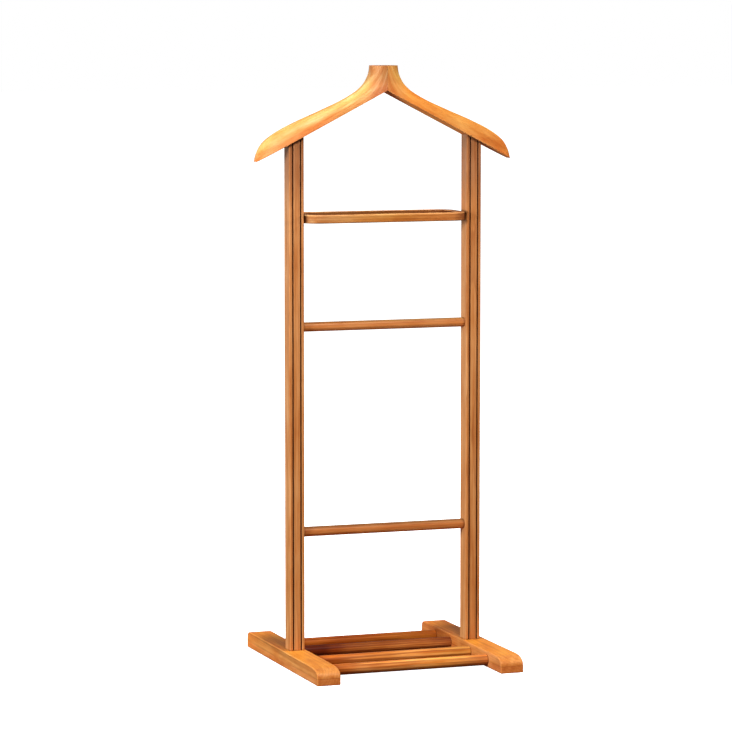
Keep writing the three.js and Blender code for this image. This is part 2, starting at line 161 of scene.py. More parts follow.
# crest of an arm, in mm from the middle and above the floor
CREST = [(24.2, HANGER_TOP / MM), (25.6, 1064), (29, 1054.3), (37.4, 1040.7), (52, 1028.2),
         (79.8, 1012.5), (120.7, 994.6), (163.4, 976.8), (200.1, 959), (225.7, 941),
         (237.7, 923), (HANGER_TIP / MM, 906.6)]
# feet of its sections, in mm: down the glued joint, then out along the underside
HEEL_Z = [HANGER_TOP / MM, 1061, 1048, 1036.5]
HEEL_X = [9, 55, 108, 150, 186, 212, 229, 240.5]
# half the front-to-back depth, in mm, at a distance from the middle
HALF_DEPTH = [(0, 22.6), (30, 22.6), (60, 22.4), (90, 22.1), (120, 21.4), (150, 20.4),
              (185, 18.6), (212, 16.4), (228, 13.6), (237, 10.8), (241, 8), (244, 4)]

# ---- studio settings --------------------------------------------------------
CAMERA_PLACE = (-2.1191, -5.8536, 1.1827)
CAMERA_TURN = -19.623  # degrees about Z from looking along +Y
CAMERA_FALL = 5.936  # degrees below level
CAMERA_LENS = 171.07
CAMERA_SENSOR = 36.0
CAMERA_REACH = 200.0
FLOOR_HALF = 40.0
FLOOR_GLOW = 1.2
FLOOR_SPECKLE = ((6, 6, 6), 3)
GROUND_LIGHT = (0.16, 0.10, 0.07)
SKY_LIGHT = (0.30, 0.30, 0.30)
COOL = (0.92, 1.14, 1.65)
WARM = (1.0, 0.85, 0.62)


def underside(x):
    """Height of the hanger's underside."""
    return HANGER_APEX - HANGER_SLOPE * abs(x)


# ---- node helpers ---------------------------------------------------------
class Node_graph:
    """Small helper that adds nodes to a material or a world and wires them."""

    def __init__(self, owner):
        self.owner = owner
        owner.use_nodes = True
        self.tree = owner.node_tree
        self.tree.nodes.clear()

    def node(self, kind, **settings):
        n = self.tree.nodes.new(kind)
        for key, value in settings.items():
            setattr(n, key, value)
        return n

    def feed(self, socket, value):
        """Link a socket to a node's output, or set it to a plain value."""
        if isinstance(value, bpy.types.NodeSocket):
            self.tree.links.new(value, socket)
        else:
            socket.default_value = value

    def coordinates(self, kind="Object"):
        return self.node("ShaderNodeTexCoord").outputs[kind]

    def maths(self, operation, a, b=0.0, c=0.0, clamp=False):
        n = self.node("ShaderNodeMath", operation=operation, use_clamp=clamp)
        self.feed(n.inputs[0], a)
        self.feed(n.inputs[1], b)
        self.feed(n.inputs[2], c)
        return n.outputs[0]

    def vector(self, operation, a, b=(0, 0, 0)):
        n = self.node("ShaderNodeVectorMath", operation=operation)
        self.feed(n.inputs[0], a)
        self.feed(n.inputs[1], b)
        if operation in ("LENGTH", "DOT_PRODUCT"):
            return n.outputs["Value"]
        return n.outputs["Vector"]

    def split(self, vector):
        n = self.node("ShaderNodeSeparateXYZ")
        self.feed(n.inputs[0], vector)
        return n.outputs["X"], n.outputs["Y"], n.outputs["Z"]

    def noise(self, place, waves, detail, roughness=0.5):
        """Value and colour of noise over a place; waves is its cycles per unit on each axis."""
        n = self.node("ShaderNodeTexNoise")
        self.feed(n.inputs["Vector"], self.vector("MULTIPLY", place, waves))
        n.inputs["Scale"].default_value = 1.0
        n.inputs["Detail"].default_value = detail
        n.inputs["Roughness"].default_value = roughness
        return n.outputs["Fac"], n.outputs["Color"]

    def span(self, value, low, high, to_low=0.0, to_high=1.0):
        n = self.node("ShaderNodeMapRange", clamp=True)
        self.feed(n.inputs["Value"], value)
        n.inputs["From Min"].default_value = low
        n.inputs["From Max"].default_value = high
        n.inputs["To Min"].default_value = to_low
        n.inputs["To Max"].default_value = to_high
        return n.outputs["Result"]

    def ramp(self, value, stops, interpolation="EASE"):
        n = self.node("ShaderNodeValToRGB")
        self.feed(n.inputs["Fac"], value)
        n.color_ramp.interpolation = interpolation
        elements = n.color_ramp.elements
        while len(elements) > 1:
            elements.remove(elements[-1])
        elements[0].position = stops[0][0]
        elements[0].color = (*stops[0][1], 1)
        for position, colour in stops[1:]:
            e = elements.new(position)
            e.color = (*colour, 1)
        return n.outputs["Color"]

    def mix(self, share, a, b, blend="MIX"):
        n = self.node("ShaderNodeMix", data_type="RGBA", blend_type=blend)
        self.feed(n.inputs[0], share)
        self.feed(n.inputs[6], a)
        self.feed(n.inputs[7], b)
        return n.outputs[2]

    def towards(self, colour, plain, mark, most):
        """Colour moved towards a plain one, by most where mark is 1."""
        return self.mix(self.maths("MULTIPLY", mark, most), colour, (*plain, 1))

    def bump(self, height, distance):
        n = self.node("ShaderNodeBump")
        self.feed(n.inputs["Height"], height)
        n.inputs["Distance"].default_value = distance
        n.inputs["Strength"].default_value = 1.0
        return n.outputs["Normal"]

    def attribute(self, name):
        n = self.node("ShaderNodeAttribute", attribute_type="GEOMETRY")
        n.attribute_name = name
        return n.outputs["Fac"]

    def principled(self, sockets):
        """The material, its shader's named sockets each linked or set to a plain value."""
        shader = self.node("ShaderNodeBsdfPrincipled")
        for name, value in sockets.items():
            self.feed(shader.inputs[name], value)
        out = self.node("ShaderNodeOutputMaterial")
        self.feed(out.inputs["Surface"], shader.outputs["BSDF"])
        return self.owner


# ---- wood -----------------------------------------------------------------
# Linear colours of the varnished timber.
HONEY = dict(
    pale=(0.700, 0.290, 0.082),
    body=(0.590, 0.196, 0.042),
    red=(0.455, 0.118, 0.018),
    late=(0.270, 0.058, 0.007),
)
# darker copy of the rails' wood for the two rear ones, a painted shade
SHADED_UMBER = dict(
    pale=(0.490, 0.140, 0.026),
    body=(0.375, 0.088, 0.012),
    red=(0.260, 0.046, 0.005),
    late=(0.130, 0.020, 0.002),
)
RUSSET = dict(
    pale=(0.900, 0.360, 0.080),
    body=(0.730, 0.232, 0.038),
    red=(0.530, 0.125, 0.014),
    late=(0.220, 0.034, 0.003),
)
GOLD = dict(
    pale=(0.860, 0.430, 0.125),
    body=(0.760, 0.300, 0.060),
    red=(0.640, 0.190, 0.028),
    late=(0.450, 0.115, 0.014),
)
AMBER = dict(
    pale=(0.870, 0.350, 0.074),
    body=(0.750, 0.245, 0.038),
    red=(0.600, 0.158, 0.019),
    late=(0.330, 0.066, 0.005),
)
TOFFEE = dict(
    pale=(0.600, 0.240, 0.070),
    body=(0.500, 0.158, 0.034),
    red=(0.380, 0.094, 0.014),
    late=(0.230, 0.046, 0.005),
)
BEECH = dict(
    pale=(0.66, 0.47, 0.28),
    body=(0.56, 0.37, 0.20),
    red=(0.46, 0.28, 0.14),
    late=(0.30, 0.16, 0.07),
)
SHADE = (0.045, 0.008, 0.001)  # glue lines, and painted shade in flutes, recesses, sockets and under and behind parts
PAINTED_RIM_HIGHLIGHT = (1.0, 0.53, 0.18)  # painted highlight along the tray's edges, brightest on the upper outer one

# Noise in the timber: cycles per mm on two axes across the fibres and one along
# them, then detail and roughness.
PITH_DRIFT = ((0.011, 0.011, 0.0022), 2, 0.5)
RING_WAVER = ((0.05, 0.05, 0.004), 3, 0.5)
STREAK = ((0.20, 0.20, 0.0036), 4, 0.6)
FINE_STREAK = ((0.62, 0.62, 0.008), 3, 0.6)
FIBRE = ((2.6, 2.6, 0.035), 3, 0.65)
PORE = ((1.5, 1.5, 0.055), 1, 0.4)
CLOUD = ((0.018, 0.018, 0.006), 2, 0.5)
BLOTCH = ((0.06, 0.06, 0.02), 3, 0.55)
WEAR_AND_HIGHLIGHT_PATCHES = ((0.09, 0.09, 0.03), 3, 0.5)
SMEAR = ((0.03, 0.03, 0.012), 3, 0.5)
MIDDLING = (0.3, 0.7)  # the range that most of a noise field lies in

PITH_SWING = 22  # mm
RING_UNEVENNESS = 1.6  # years
LATE_FROM, LATE_TO = 0.45, 0.93  # share of a year's ring
LATE_CONTRAST = 1.6
STREAK_WEIGHT = 1.9
FINE_STREAK_WEIGHT = 0.85
CLOUD_WEIGHT = 0.9
BODY_TONE = 0.45  # tone of the timber's body colour, from 0 for red to 1 for pale
FIBRE_DARK, FIBRE_LIGHT = 0.90, 1.07
PORE_RANGE = (0.64, 0.74)
PORE_STAIN = 0.22
END_GRAIN_RANGE = (0.72, 0.97)  # how squarely a face cuts the fibres
END_GRAIN_STAIN = 0.38
STAIN_AND_SHADE_DEPTH = 0.93
# patchiness of the edges' wear, and of the tray's painted highlight
WEAR_AND_HIGHLIGHT_RANGE = (0.35, 0.65)
WEAR_AND_HIGHLIGHT_LEAST, WEAR_AND_HIGHLIGHT_MOST = 0.25, 0.8
WEAR_AND_HIGHLIGHT_PALENESS = 0.6
SMEAR_GLOSSIER, SMEAR_DULLER = 0.05, 0.06
PORE_DULLNESS = 0.12
END_GRAIN_DULLNESS = 0.1
WEAR_AND_HIGHLIGHT_DULLNESS = 0.1
RELIEF = 0.06 * MM
PORE_RELIEF = -0.9
LATE_RELIEF = 0.35
VARNISH = {"Coat Weight": 0.08, "Coat Roughness": 0.3, "Coat IOR": 1.35}
VARNISH_IOR = 1.33
DULL_IOR = 1.2  # the rails shine less than the rest

SWEEP_REACH = 14.0  # mm over which the grain turns out of the neck
SWEEP_RISE = 50.0

TURNING_MARKS = ((0.3, 0.3, 6.0), 2)  # as above, on the screws
ZINC_CLOUD = ((0.5, 0.5, 0.5), 3)
ZINC_DARK, ZINC_PALE = (0.36, 0.36, 0.35), (0.56, 0.56, 0.55)
ZINC_SMOOTH, ZINC_ROUGH = 0.28, 0.44
ZINC_RELIEF = 0.03 * MM


def straight_log(g, coords, axis, seat):
    """Place in the timber in millimetres, straight fibres along z."""
    turn = axis.rotation_difference(Vector(UP)).to_euler()
    placed = g.node("ShaderNodeMapping", vector_type="POINT")
    g.feed(placed.inputs["Vector"], coords)
    placed.inputs["Rotation"].default_value = turn
    placed.inputs["Scale"].default_value = (1 / MM, 1 / MM, 1 / MM)
    placed.inputs["Location"].default_value = seat
    return placed.outputs["Vector"]


def swept_log(g, coords, seat):
    """Fibres that rise up the hanger's neck and sweep out along its arms."""
    x, y, z = g.split(g.vector("MULTIPLY", coords, (1 / MM, 1 / MM, 1 / MM)))
    out = g.maths("ABSOLUTE", x)
    fall_off = g.maths("EXPONENT", g.maths("MULTIPLY", out, -1 / SWEEP_REACH))
    across = g.maths("MULTIPLY_ADD", out, HANGER_SLOPE, z)
    across = g.maths("MULTIPLY_ADD", fall_off, -SWEEP_RISE, across)
    joined = g.node("ShaderNodeCombineXYZ")
    g.feed(joined.inputs[0], across)
    g.feed(joined.inputs[1], y)
    g.feed(joined.inputs[2], out)
    return g.vector("ADD", joined.outputs[0], seat)


def growth_rings(g, log, pith, ring, wander):
    """Share of late wood in growth rings round a wandering pith."""
    _, drift = g.noise(log, *PITH_DRIFT)
    swing = PITH_SWING * wander
    aside = g.vector("MULTIPLY", g.vector("SUBTRACT", drift, (0.5, 0.5, 0.5)), (swing, swing, 0))
    bent = g.vector("ADD", log, aside)
    flat = g.vector("MULTIPLY", g.vector("SUBTRACT", bent, (*pith, 0)), (1, 1, 0))
    radius = g.vector("LENGTH", flat)
    waver, _ = g.noise(log, *RING_WAVER)
    age = g.maths("DIVIDE", radius, ring)
    year = g.maths("FRACT", g.maths("MULTIPLY_ADD", waver, RING_UNEVENNESS * wander, age))
    late = g.span(year, LATE_FROM, LATE_TO)
    late = g.maths("MULTIPLY", late, g.span(year, LATE_TO, 1.0, 1.0, 0.0))
    return g.maths("POWER", late, LATE_CONTRAST)


def timber_tone(g, log, streaks, figure):
    """Where the timber is between red, 0, and pale, 1: streaks, clouds and blotches."""
    tone = 0.0
    for pattern, weight in ((STREAK, STREAK_WEIGHT * streaks),
                            (FINE_STREAK, FINE_STREAK_WEIGHT * streaks),
                            (CLOUD, CLOUD_WEIGHT), (BLOTCH, figure)):
        field, _ = g.noise(log, *pattern)
        tone = g.maths("MULTIPLY_ADD", g.maths("SUBTRACT", field, 0.5), weight, tone)
    return g.maths("ADD", tone, 0.5, clamp=True)


def sawn_end(g, axis):
    """1 on faces cut across the fibres, 0 along them."""
    normal = g.node("ShaderNodeNewGeometry").outputs["Normal"]
    facing = g.maths("ABSOLUTE", g.vector("DOT_PRODUCT", normal, tuple(axis)))
    return g.span(facing, *END_GRAIN_RANGE)


def worn_and_highlit_edges(g, log):
    """The edges' wear, and on the tray their painted highlight, patchy along them."""
    patches, _ = g.noise(log, *WEAR_AND_HIGHLIGHT_PATCHES)
    patchy = g.span(patches, *WEAR_AND_HIGHLIGHT_RANGE, WEAR_AND_HIGHLIGHT_LEAST, WEAR_AND_HIGHLIGHT_MOST)
    return g.maths("MULTIPLY", g.attribute("wear_and_highlight"), patchy)


def tinted(g, colour, coords, direction, stops):
    """Colour multiplied by stops of (millimetres along direction, (r, g, b))."""
    along = g.vector("DOT_PRODUCT", coords, tuple(d / MM for d in direction))
    first, last = stops[0][0], stops[-1][0]
    share = g.span(along, first, last)
    tone_and_painted_light = g.ramp(share, [((at - first) / (last - first), c) for at, c in stops])
    return g.mix(1.0, colour, tone_and_painted_light, "MULTIPLY")


def varnish_roughness(g, log, gloss, marks):
    """Roughness round gloss, smeared, and duller by each (mark, amount)."""
    smear, _ = g.noise(log, *SMEAR)
    rough = g.span(smear, *MIDDLING, gloss - SMEAR_GLOSSIER, gloss + SMEAR_DULLER)
    for mark, duller in marks:
        rough = g.maths("MULTIPLY_ADD", mark, duller, rough)
    return rough


def wood(name, grain, seat, palette, pith=(95, 60), ring=5.0, streaks=1.0, gloss=0.36,
         rings=0.42, figure=0.9, wander=1.0, ior=VARNISH_IOR, swept=False, tints=()):
    """Varnished wood whose fibres run along grain; seat shifts it through the log.

    pith and ring are the log's heart and the width of a year's ring, in mm, and wander
    is how crooked it grew; streaks, rings and figure are strengths; gloss is the
    varnish's roughness; tints is a list of (direction, stops), as in tinted, which
    paint tone and painted light and shade along the piece.
    """
    g = Node_graph(bpy.data.materials.new(name))
    axis = Vector(grain).normalized()
    coords = g.coordinates()
    log = swept_log(g, coords, seat) if swept else straight_log(g, coords, axis, seat)
    late = growth_rings(g, log, pith, ring, wander)
    fibre, _ = g.noise(log, *FIBRE)
    pores = g.span(g.noise(log, *PORE)[0], *PORE_RANGE)
    end_grain = sawn_end(g, axis)
    edge_wear_and_highlight = worn_and_highlit_edges(g, log)

    tones = [(0.0, palette["red"]), (BODY_TONE, palette["body"]), (1.0, palette["pale"])]
    colour = g.ramp(timber_tone(g, log, streaks, figure), tones, "LINEAR")
    colour = g.towards(colour, palette["late"], late, rings)
    colour = g.mix(1.0, colour, g.span(fibre, *MIDDLING, FIBRE_DARK, FIBRE_LIGHT), "MULTIPLY")
    colour = g.towards(colour, palette["late"], pores, PORE_STAIN)
    colour = g.towards(colour, palette["red"], end_grain, END_GRAIN_STAIN)
    # tints: tone, and painted light and shade, along the piece
    for direction, stops in tints:
        colour = tinted(g, colour, coords, direction, stops)
    # glue lines, and painted shade in flutes, recesses, sockets and under and behind parts
    colour = g.towards(colour, SHADE, g.attribute("stain_and_shade"), STAIN_AND_SHADE_DEPTH)
    # edges painted paler: wear, and on the tray a painted highlight
    colour = g.towards(colour, palette.get("rim_highlight", palette["pale"]), edge_wear_and_highlight, WEAR_AND_HIGHLIGHT_PALENESS)

    rough = varnish_roughness(g, log, gloss, (
        (pores, PORE_DULLNESS), (end_grain, END_GRAIN_DULLNESS), (edge_wear_and_highlight, WEAR_AND_HIGHLIGHT_DULLNESS)))
    relief = g.maths("MULTIPLY_ADD", pores, PORE_RELIEF, fibre)
    relief = g.maths("MULTIPLY_ADD", late, LATE_RELIEF, relief)
    return g.principled({"Base Color": colour, "Roughness": rough, "IOR": ior,
                         "Normal": g.bump(relief, RELIEF), **VARNISH})


def steel(name):
    """Zinc-plated screw: fine turning marks and faint clouding."""
    g = Node_graph(bpy.data.materials.new(name))
    place = g.vector("MULTIPLY", g.coordinates(), (1 / MM, 1 / MM, 1 / MM))
    turned, _ = g.noise(place, *TURNING_MARKS)
    cloud, _ = g.noise(place, *ZINC_CLOUD)
    zinc = g.ramp(cloud, [(0.25, ZINC_DARK), (0.75, ZINC_PALE)])
    rough = g.span(turned, *MIDDLING, ZINC_SMOOTH, ZINC_ROUGH)
    return g.principled({"Base Color": zinc, "Roughness": rough, "Metallic": 1.0,
                         "Normal": g.bump(turned, ZINC_RELIEF)})


# ---- mesh helpers -----------------------------------------------------------
def quarter_turn(steps):
    """Evenly spaced angles from 0 to a quarter turn, in radians."""
    return [math.pi / 2 * k / steps for k in range(steps + 1)]


def arc(cx, cy, radius, start, end, steps):
    """Points on an arc, angles in degrees."""
    points = []
    for k in range(steps + 1):
        a = math.radians(start + (end - start) * k / steps)
        points.append((cx + radius * math.cos(a), cy + radius * math.sin(a)))
    return points


def step_on(points, t):
    """Which stretch between points t, from 0 to 1, falls in, and how far along it."""
    place = min(t, NEARLY_ONE) * (len(points) - 1)
    i = int(place)
    return i, place - i


def smooth_path(points, t):
    """Catmull-Rom curve through the points, t from 0 to 1."""
    i, f = step_on(points, t)
    p0 = points[max(i - 1, 0)]
    p1 = points[i]
    p2 = points[i + 1]
    p3 = points[min(i + 2, len(points) - 1)]
    result = []
    for a, b, c, d in zip(p0, p1, p2, p3):
        v0 = (c - a) * 0.5
        v1 = (d - b) * 0.5
        result.append((2 * b - 2 * c + v0 + v1) * f ** 3
                      + (-3 * b + 3 * c - 2 * v0 - v1) * f ** 2 + v0 * f + b)
    return result


def loft(name, rings, marks, material, replaced, sharp=SHARP_ANGLE):
    """A closed skin over rings of points, with flat ends.

    rings: lists of (x, y, z); marks: the same shape, (stain_and_shade, wear_and_highlight) per
    point.
    """
    bm = bmesh.new()
    stain_and_shade = bm.verts.layers.float.new("stain_and_shade")
    wear_and_highlight = bm.verts.layers.float.new("wear_and_highlight")
    rows = []
    for ring_points, ring_marks in zip(rings, marks):
        row = []
        for point, mark in zip(ring_points, ring_marks):
            v = bm.verts.new(point)
            v[stain_and_shade], v[wear_and_highlight] = mark
            row.append(v)
        rows.append(row)
    count = len(rows[0])
    for lower, upper in zip(rows, rows[1:]):
        for j in range(count):
            k = (j + 1) % count
            bm.faces.new((lower[j], lower[k], upper[k], upper[j]))
    bm.faces.new(list(reversed(rows[0])))
    bm.faces.new(rows[-1])
    bmesh.ops.recalc_face_normals(bm, faces=bm.faces)
    return finish_piece(name, bm, material, replaced, sharp)


def finish_piece(name, bm, material, replaced, sharp):
    """Put the mesh in the scene, riding on the stand in place of a CAD node."""
    mesh = bpy.data.meshes.new(name)
    bm.to_mesh(mesh)
    bm.free()
    for polygon in mesh.polygons:
        polygon.use_smooth = True
    mesh.set_sharp_from_angle(angle=math.radians(sharp))
    mesh.materials.append(material)
    piece = bpy.data.objects.new(name, mesh)
    bpy.context.scene.collection.objects.link(piece)
    even = piece.modifiers.new("even_normals", "WEIGHTED_NORMAL")
    even.keep_sharp = True
    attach(piece, "root")
    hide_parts(replaced)
    return piece


# ---- posts ------------------------------------------------------------------
def post_outline():
    """Section of a post as (x, y, stain_and_shade, wear_and_highlight), anticlockwise from the
    front left.
    """
    w, d, r = POST_HALF_WIDTH, POST_HALF_DEPTH, POST_ARRIS
    half = FLUTE_HALF_WIDTH
    points = []

    def corner(cx, cy, start):
        for k, (x, y) in enumerate(arc(cx, cy, r, start, start + 90, POST_CORNER_STEPS)):
            points.append((x, y, 0.0, math.sin(math.pi * k / POST_CORNER_STEPS)))

    corner(-w + r, -d + r, 180)
    lip = [(half + out * FLUTE_LIP, -d + down * FLUTE_LIP, stain_and_shade, wear_and_highlight)
           for out, down, stain_and_shade, wear_and_highlight in FLUTE_LIP_POINTS]
    for centre in (-FLUTE_OFFSET, FLUTE_OFFSET):
        floor = -d + FLUTE_DEPTH - half
        points += [(centre - across, y, stain_and_shade, wear_and_highlight) for across, y, stain_and_shade, wear_and_highlight in lip]
        # flute floors painted fully dark, as shade
        points += [(x, y, 1.0, 0.0) for x, y in arc(centre, floor, half, 180, 0, FLUTE_STEPS)]
        points += [(centre + across, y, stain_and_shade, wear_and_highlight) for across, y, stain_and_shade, wear_and_highlight in reversed(lip)]
    corner(w - r, -d + r, 270)
    corner(w - r, d - r, 0)
    corner(-w + r, d - r, 90)
    return points


def post(side, material):
    outline = post_outline()
    centre = side * POST_CENTRE
    rings, marks = [], []

    def ring_at(share, ease=0.0, joint=0.0, tray_shadow=0.0):
        """share runs 0 at the foot to 1 at the hanger; joint darkens the glue line."""
        ring, mark = [], []
        for x, y, stain_and_shade, wear_and_highlight in outline:
            shrink = 1 - ease / POST_HALF_WIDTH
            px = centre + x * shrink
            top = underside(px)
            ring.append((px, POST_Y + y * shrink, FOOT_HEIGHT + (top - FOOT_HEIGHT) * share))
            inner = -side * x > POST_HALF_WIDTH - POST_ARRIS
            mark.append((max(stain_and_shade, joint, tray_shadow if inner else tray_shadow * TRAY_SHADOW_ROUND), wear_and_highlight))
        rings.append(ring)
        marks.append(mark)

    length = post_high.z - FOOT_HEIGHT
    eased, clear = END_EASE / length, END_STAIN_REACH / length
    stations = [(k / POST_STATIONS, 0.0) for k in range(1, POST_STATIONS)]
    # rings at the tray's height carry its painted shadow
    for z, tray_shadow in ((tray_low.z - TRAY_SHADOW_BELOW, 0.0), (tray_low.z, TRAY_SHADOW_LOW),
                     (tray_high.z, TRAY_SHADOW_HIGH), (tray_high.z + TRAY_SHADOW_ABOVE, 0.0)):
        stations.append(((z - FOOT_HEIGHT) / length, tray_shadow))
    ring_at(0, ease=END_EASE, joint=END_STAIN)
    ring_at(eased, joint=END_STAIN_FADING)
    ring_at(clear)
    for share, tray_shadow in sorted(stations):
        ring_at(share, tray_shadow=tray_shadow)
    ring_at(1 - clear)
    ring_at(1 - eased, joint=END_STAIN_FADING)
    ring_at(1, ease=END_EASE, joint=END_STAIN)
    word = SIDE_WORD[side]
    return loft(f"{word}_fluted_post", rings, marks, material, f"{word}_post")


# ---- feet -------------------------------------------------------------------
def foot_profile(shrink):
    """Top line of a foot as (y, z) from the front sole to the rear sole, inset by shrink."""
    front, rear = foot_low.y + shrink, foot_high.y - shrink
    top = FOOT_HEIGHT - shrink
    nose_length, nose_drop = FOOT_NOSE_LENGTH - shrink, FOOT_NOSE_DROP - shrink
    heel = FOOT_HEEL_RADIUS - shrink
    power = 2 / FOOT_NOSE_FULLNESS
    points = [(front + FOOT_BASE_EASE, shrink), (front, shrink + FOOT_BASE_EASE)]
    points.append((front, (top - nose_drop) * FOOT_FRONT_POINT))
    for k in range(FOOT_NOSE_STEPS + 1):
        a = math.pi / 2 * (1 - k / FOOT_NOSE_STEPS)
        points.append((front + nose_length * (1 - math.sin(a) ** power),
                       top - nose_drop * (1 - max(math.cos(a), 0.0) ** power)))
    flat_from, flat_to = front + nose_length, rear - heel
    flat = [flat_from + (flat_to - flat_from) * k / FOOT_BODY_STEPS
            for k in range(1, FOOT_BODY_STEPS)]
    for y in sorted(flat + [post_low.y, post_low.y + FOOT_POST_SHADOW_START]):
        points.append((y, top))
    for y, z in reversed(arc(rear - heel, top - heel, heel, 0, 90, FOOT_HEEL_STEPS)):
        points.append((y, z))
    points.append((rear, (top - heel) * FOOT_REAR_POINT))
    points.append((rear, shrink + FOOT_BASE_EASE))
    points.append((rear - FOOT_BASE_EASE, shrink))
    return points


def post_shadow_on_foot(y, z):
    """Painted shadow of the post on the top of a foot behind it."""
    if z < FOOT_HEIGHT - FOOT_TOP_BAND or y < post_low.y + FOOT_POST_SHADOW_START / 2:
        return 0.0
    return FOOT_POST_SHADOW * min(1.0, max(0.0, (FOOT_POST_SHADOW_END - y) / FOOT_POST_SHADOW_FADE))


def foot(side, material):
    """Skin drawn across the width of a foot, its profile eased in at both side faces."""
    near, far = foot_low.x, foot_high.x
    ease = []  # distance in from a side face, inset of the profile, wear
    for a in quarter_turn(FOOT_ARRIS_STEPS):
        ease.append((FOOT_ARRIS * (1 - math.cos(a)), FOOT_ARRIS * (1 - math.sin(a)),
                     math.sin(2 * a)))
    places = [(near + across, inset, wear_and_highlight) for across, inset, wear_and_highlight in ease]
    places.append(((near + far) / 2, 0.0, 0.0))
    places += [(far - across, inset, wear_and_highlight) for across, inset, wear_and_highlight in reversed(ease)]
    rings, marks = [], []
    for x, inset, wear_and_highlight in places:
        profile = foot_profile(inset)
        rings.append([(side * x, y, z) for y, z in profile])
        marks.append([(post_shadow_on_foot(y, z), wear_and_highlight) for y, z in profile])
    word = SIDE_WORD[side]
    return loft(f"{word}_sled_foot", rings, marks, material, f"{word}_foot")


# ---- rails and bars -----------------------------------------------------------
def rod(node, material, mouth, stain_and_shade_reach, underside_shade=0.0):
    """A turned rod along x in place of a CAD rod, darker where it enters its sockets, as stain and
    painted shade.

    mouth is the distance of the sockets' mouths from the middle, and underside_shade
    the painted shade along the rod's lowest line.
    """
    low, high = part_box(node)
    radius = (high.z - low.z) / 2
    cy, cz = (low.y + high.y) / 2, (low.z + high.z) / 2
    stations = [low.x, high.x]
    for k in range(ROD_STATIONS + 1):
        stations.append(-mouth + 2 * mouth * k / ROD_STATIONS)
    for side in SIDE_WORD:
        for step in SOCKET_STAIN_AND_SHADE_STEPS:
            stations.append(side * (mouth - step * MM))
    rings, marks = [], []
    for x in sorted(stations):
        depth_in = mouth - abs(x)
        # socket darkening: stain, with painted shade where the rod meets the post or foot
        joint = max(0.0, 1 - depth_in / stain_and_shade_reach) if depth_in > 0 else 1.0
        ring, mark = [], []
        for j in range(ROD_SIDES):
            a = 2 * math.pi * j / ROD_SIDES
            ring.append((x, cy + radius * math.cos(a), cz + radius * math.sin(a)))
            # painted shade along the underside
            below = max(0.0, -math.sin(a) - RAIL_UNDERSIDE_SHADE_FROM) / (1 - RAIL_UNDERSIDE_SHADE_FROM) * underside_shade
            mark.append((max(SOCKET_STAIN_AND_SHADE * joint, below), 0.0))
        rings.append(ring)
        marks.append(mark)
    return loft(f"{node}_rod", rings, marks, material, node)


# ---- tray -----------------------------------------------------------------------
def rounded_rectangle(x0, x1, y0, y1, r, corner_steps=10, long_steps=24, short_steps=4):
    """Closed outline with the same number of points whatever its size."""
    corners = ((x1 - r, y0 + r, -90), (x1 - r, y1 - r, 0), (x0 + r, y1 - r, 90),
               (x0 + r, y0 + r, 180))
    steps_after = (short_steps, long_steps, short_steps, long_steps)
    points = []
    for i, (cx, cy, start) in enumerate(corners):
        points.extend(arc(cx, cy, r, start, start + 90, corner_steps))
        ax, ay = points[-1]
        next_cx, next_cy, next_start = corners[(i + 1) % 4]
        bx, by = arc(next_cx, next_cy, r, next_start, next_start, 1)[0]
        steps = steps_after[i]
        for k in range(1, steps):
            points.append((ax + (bx - ax) * k / steps, ay + (by - ay) * k / steps))
    return points


def wedge_shade(x):
    """Darkening where the rounded corners of the tray run in against the posts."""
    into = abs(x) - (tray_high.x - TRAY_WEDGE)
    return min(1.0, max(0.0, into / (TRAY_WEDGE / 2)))


def tray_outside():
    """(inset, height, wear_and_highlight) up the outer wall of the tray, the mark a painted
    highlight here.
    """
    bottom, top = tray_low.z, tray_high.z
    profile = []
    for a in quarter_turn(TRAY_EDGE_STEPS):
        profile.append((TRAY_EDGE * (1 - math.sin(a)), bottom + TRAY_EDGE * (1 - math.cos(a)),
                        math.sin(2 * a) * TRAY_SOFT_HIGHLIGHT))
    for a in quarter_turn(TRAY_EDGE_STEPS):
        profile.append((TRAY_EDGE * (1 - math.cos(a)), top - TRAY_EDGE * (1 - math.sin(a)),
                        math.sin(2 * a)))
    return profile


def tray_inside():
    """(inset, height, stain_and_shade, wear_and_highlight) over the rim and down into the recess,
    which carries painted shade.
    """
    top = tray_high.z
    floor = top - TRAY_RECESS
    profile = []
    for k, a in enumerate(quarter_turn(TRAY_RIM_STEPS)):
        profile.append((-TRAY_RIM_EDGE * (1 - math.sin(a)), top - TRAY_RIM_EDGE * (1 - math.cos(a)),
                        TRAY_RECESS_SHADE * (k / TRAY_RIM_STEPS) ** 2, math.sin(2 * a) * TRAY_SOFT_HIGHLIGHT))
    for k, a in enumerate(quarter_turn(TRAY_EDGE_STEPS)):
        profile.append((TRAY_FILLET * (1 - math.cos(a)), floor + TRAY_FILLET * (1 - math.sin(a)),
                        TRAY_RECESS_SHADE if k < TRAY_EDGE_STEPS else TRAY_FLOOR_SHADE, 0.0))
    return profile


